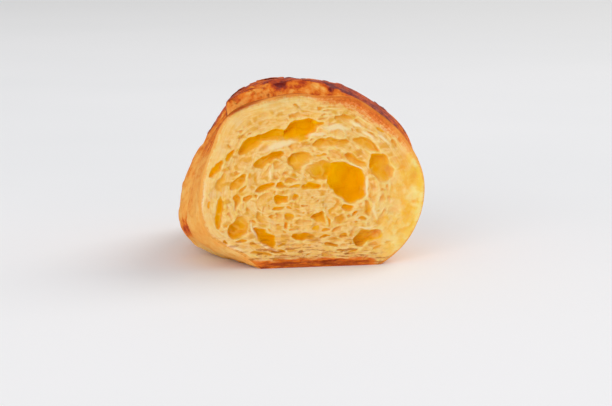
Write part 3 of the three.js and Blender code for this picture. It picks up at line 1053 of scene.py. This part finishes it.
def toasted_rim(m, colour, skin, streaks):
    """Browning that reaches from the skin into the cut, with an uneven edge."""
    reach, bake = m.attribute("reach"), m.attribute("bake")
    wander = m.swing(m.noise(420.0, 5.0, 0.65), 3.2)
    wander = m.plus(wander, m.swing(m.noise(1300.0, 3.0, 0.7), 6.0))
    wander = m.plus(wander, m.swing(streaks, 4.0))
    near = m.plus(skin, m.times(wander, m.range(reach, 1.0, 5.0, 0.25, 1.0)))
    toasted = m.math("SUBTRACT", 1.0, m.math("DIVIDE", near, reach), clamp=True)
    toast = m.blend(m.range(bake, 0.35, 0.7), LIGHT_TOAST, TOAST)
    colour = m.blend(m.range(toasted, 0.0, 0.7), colour, toast)
    return m.blend(m.times(m.range(toasted, 0.5, 1.0), m.range(bake, 0.45, 0.8)), colour, BROWN)


def painted_low_shade(m, colour, amber, glow, leafy):
    """Painted shade: darker gaps between the flat leaves of dough just over the base, and darker deep cells
    there, less so where the glow is.
    """
    # painted shade, strongest just over the base and weaker where the glow is
    low = m.range(m.toward((0.0, 0.0, 1.0)), 0.0035, 0.0125, 1.0, 0.0)
    low = m.times(low, m.range(glow, 0.0, 0.7, 1.0, 0.1))
    colour = m.blend(m.times(m.range(leafy, 0.5, 0.6), m.times(low, 0.85)), colour, GAP_SHADE)
    return m.blend(m.times(m.range(amber, 0.2, 0.6), m.times(low, 0.45)), colour, GAP_SHADE)


def tongue_and_foot(m, colour, streaks, leafy):
    """The tongue's own edge, the dark crease under it, and the foot, browned from the tray and with painted
    shade in its lowest band.
    """
    tongue = m.blend(m.range(m.noise(900.0, 4.0, 0.7), 0.4, 0.6), TOAST, LIGHT_TOAST)
    colour = m.blend(m.attribute("over"), colour, tongue)
    # darker along the crease under the tongue
    colour = m.blend(m.times(m.attribute("crease"), m.range(streaks, 0.05, 0.3)), colour, CREASE_DARK)
    # browning of the foot, with painted shade darkest in its lowest band
    baked_and_shaded = m.times(m.attribute("foot"), m.plus(m.times(leafy, 2.6), -0.2))
    colour = m.blend(m.range(baked_and_shaded, 0.25, 0.75), colour, TOAST)
    return m.blend(m.range(baked_and_shaded, 0.7, 1.3), colour, BROWN)


def crumb_material():
    """The cut face: soft dough that light comes through."""
    m = Nodes("crumb")
    amber, skin, glow = (m.attribute(name) for name in ("amber", "skin", "glow"))
    along_rings = m.vector(m.times(skin, 2.6), m.toward((170.0, 0.0, 0.0)), m.toward((0.0, 0.0, 170.0)))
    streaks = m.noise(1.0, 4.0, 0.65, along_rings)
    mottled = m.noise(380.0, 4.0)
    leafy = m.noise(1.0, 4.0, 0.65, m.stretched((220.0, 220.0, 1300.0)))
    colour = crumb_dough(m, skin, streaks, mottled)
    colour = cell_colour(m, colour, amber, mottled)
    colour = painted_glow(m, colour, glow)
    colour = toasted_rim(m, colour, skin, streaks)
    colour = painted_low_shade(m, colour, amber, glow, leafy)
    m.set("Base Color", tongue_and_foot(m, colour, streaks, leafy))
    m.set("Roughness", 0.6)
    m.set("Specular IOR Level", m.range(amber, 0.1, 0.6, 0.2, 0.0))
    m.set("Subsurface Weight", m.range(skin, 0.0, 1.6, 0.1, 1.0))
    m.set("Subsurface Radius", (1.0, 0.78, 0.5))
    m.set("Subsurface Scale", m.range(glow, 0.0, 1.0, 0.003, 0.009))
    m.set("Normal", m.bump(m.noise(1400.0, 4.0, 0.6), 0.0004, 0.4))
    return m.material


def crust_tone(m, lined, blisters):
    """How brown the crust is, from 0 to 1, with its streaks, blisters, patches and specks."""
    bake = m.attribute("bake")
    patches = m.noise(170.0, 4.0, 0.6)
    torn = m.noise(1.0, 4.0, 0.6, m.stretched((240.0, 900.0, 240.0)), distortion=0.4)
    specks = m.noise(900.0, 3.0, 0.6)
    uneven = m.plus(lined, m.times(blisters, 0.16))
    for part, strength in ((patches, 0.9), (torn, 0.8), (specks, 0.45)):
        uneven = m.plus(uneven, m.swing(part, strength))
    return m.math("ADD", bake, m.times(uneven, m.range(bake, 0.2, 0.6, 0.35, 1.0)), clamp=True)


def crust_material(name, depth_of_light):
    """Baked skin. Light goes into thick crust, and would be lost through a thin flake."""
    m = Nodes(name)
    blisters = m.range(m.noise(460.0, 2.0, 0.5), 0.57, 0.68)
    along_bands = m.vector(m.attribute("band_cos"), m.attribute("band_sin"), m.toward((220.0, 0.0, 220.0)))
    streaks = m.noise(1.0, 4.0, 0.6, along_bands, distortion=0.6)
    lined = m.swing(streaks, m.range(m.attribute("layers"), 0.0, 1.0, 0.3, 1.1))
    tone = crust_tone(m, lined, blisters)
    wrinkled = m.bump(lined, 0.0006, 0.6)
    blistered = m.bump(blisters, 0.0003, 0.5, wrinkled)
    bumped = m.bump(m.noise(700.0, 4.0, 0.6), 0.0005, 0.8, blistered)
    m.set("Base Color", m.ramp(tone, CRUST))
    m.set("Roughness", 0.8)
    m.set("Specular IOR Level", 0.03)
    m.set("Coat Weight", m.range(tone, 0.4, 0.85, 0.02, 0.35))
    m.set("Coat Roughness", 0.2)
    m.set("Subsurface Weight", depth_of_light)
    m.set("Subsurface Radius", (1.0, 0.6, 0.3))
    m.set("Subsurface Scale", 0.0012)
    m.set("Normal", bumped)
    m.set("Coat Normal", bumped)
    return m.material


def bake_values(points, values):
    """How brown the skin is at each point, from 0, pale, to 1, dark."""
    degrees, along = values["degrees"], values["along"]
    from_middle = np.abs(along - CUT_TO_MIDDLE)
    x = band_place(degrees, from_middle)
    within = x - np.floor(x)
    edge = step_edge(degrees, from_middle)
    crease = hump(within, 0.16) * (x > 0)
    ridge = soft(within, 0.45, 0.95) * (1 - edge)
    on_crust = (along > 0) | (values["skin"] < 0.05)
    under_tongue = soft(degrees, 68, 82) * (1 - soft(degrees, 138, 150))
    uneven = 0.55 + 0.45 * noise((degrees, 0 * x, 0 * x), 5, 92)
    line = under_tongue * hump(along, 0.7) * uneven
    bake = round_list(SKIN_BAKE, degrees)
    bake = bake + on_crust * (-0.06 * crease + 0.14 * ridge - 0.12 * edge + 0.4 * line)
    values["layers"] = np.clip(edge + crease, 0, 1)
    bake = bake + 0.14 * rough_noise(points.T, 7, 91)
    for spot_degrees, spot_along, spread_degrees, spread_along, strength in SPOTS:
        turn = turn_from(spot_degrees, degrees)
        away = (turn / spread_degrees) ** 2 + ((along - spot_along) / spread_along) ** 2
        bake = bake + on_crust * strength * np.exp(-away)
    return np.clip(bake, 0, 1)


def make_stage():
    """A wide sheet of pale paper, with painted shade towards the back right."""
    m = Nodes("paper")
    m.set("Roughness", 0.85)
    m.set("Specular IOR Level", 0.2)
    tint = m.blend(m.range(m.noise(2.2, 3.0), 0.3, 0.7), *PAPER)
    # painted shade towards the back right
    m.set("Base Color", m.blend(m.range(m.toward((0.6, 1.0, 0.0)), 0.0, 1.6), tint, FAR_PAPER_SHADE))
    mesh = bpy.data.meshes.new("paper")
    corners = ((-1, -1), (1, -1), (1, 1), (-1, 1))
    mesh.from_pydata([(x * PAPER_HALF, y * PAPER_HALF, 0) for x, y in corners], [], [(0, 1, 2, 3)])
    mesh.materials.append(m.material)
    add_object("paper", mesh)


def area_light(name, place, aim, size, power, colour):
    """A round soft light at a place, turned to what it lights."""
    light = bpy.data.lights.new(name, "AREA")
    light.shape = "DISK"
    light.size = size
    light.energy = power
    light.color = colour
    obj = add_object(name, light)
    obj.location = place
    obj.rotation_euler = (Vector(aim) - Vector(place)).to_track_quat("-Z", "Y").to_euler()


def make_lights():
    """A window at the back right, a weak light at the front left, and a pale room."""
    area_light("window", (2.0, 0.75, 2.1), (0, -0.03, 0.02), 1.9, 34.0, (1.0, 0.98, 0.95))
    area_light("fill", (-1.1, -1.7, 0.8), (0, 0, 0.02), 1.4, 15.0, (1.0, 0.99, 0.98))
    world = bpy.data.worlds.new("room")
    world.use_nodes = True
    world.node_tree.nodes["Background"].inputs[0].default_value = (0.98, 0.985, 1.0, 1)
    world.node_tree.nodes["Background"].inputs[1].default_value = 0.6
    bpy.context.scene.world = world


CAMERA_AZIMUTH = -10.0  # degrees to the right of straight before the cut
CAMERA_ELEVATION = 10.0
CAMERA_DISTANCE = 0.512  # metres
CAMERA_LENS = 101.4
CAMERA_AIM = (-0.3, 0.0, 19.5)  # in the cut's coordinates


def make_camera(shift):
    """The camera looks at the middle of the cut face from a little to its left and above."""
    azimuth, elevation = math.radians(CAMERA_AZIMUTH), math.radians(CAMERA_ELEVATION)
    level = math.cos(elevation)
    back = Vector((math.sin(azimuth) * level, -math.cos(azimuth) * level, math.sin(elevation)))
    aim = (Vector(shift) + Vector(CAMERA_AIM)) * MM
    camera = bpy.data.cameras.new("camera")
    camera.lens = CAMERA_LENS
    camera.sensor_width = 36
    camera.clip_start = 0.01
    obj = add_object("camera", camera)
    obj.location = aim + back * CAMERA_DISTANCE
    obj.rotation_euler = (-back).to_track_quat("-Z", "Y").to_euler()
    bpy.context.scene.camera = obj


def skin_values(points, values):
    """What the materials need to know at each point."""
    from_middle = np.abs(values["along"] - CUT_TO_MIDDLE)
    values.setdefault("skin", np.zeros(len(points)))
    values["bake"] = bake_values(points, values)
    turn = 2 * np.pi * band_place(values["degrees"], from_middle)
    values["band_cos"], values["band_sin"] = BAND_LINES * np.cos(turn), BAND_LINES * np.sin(turn)
    values["reach"] = round_list(TOAST_REACH, values["degrees"])
    return values


def main():
    """The half croissant and its flakes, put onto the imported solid, with paper, light and camera."""
    random = np.random.default_rng(7)
    shift = shift_to_frame()
    make_camera(shift)
    make_lights()
    make_stage()
    cells = scatter_cells(random, CELLS)
    behind = scatter_cells(random, CELLS[:1])
    points, tris, is_crust, values = croissant_mesh(cells, behind)
    materials = [crumb_material(), crust_material("crust", 0.3)]
    values = skin_values(points, values)
    croissant = make_object("croissant", points + shift, outward(points, tris), materials, values, is_crust)
    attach(croissant, "root")
    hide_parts(NODE)
    points, tris, values = flakes(random)
    values = skin_values(points, values)
    values["bake"] = np.clip(values["bake"] - 0.05, 0, 1)
    materials = [crust_material("flake", 0.0)]
    leaf = make_object("flakes", points + shift, outward(points, tris), materials, values)
    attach(leaf, "root")
    bpy.context.scene.view_settings.view_transform = "Standard"


main()
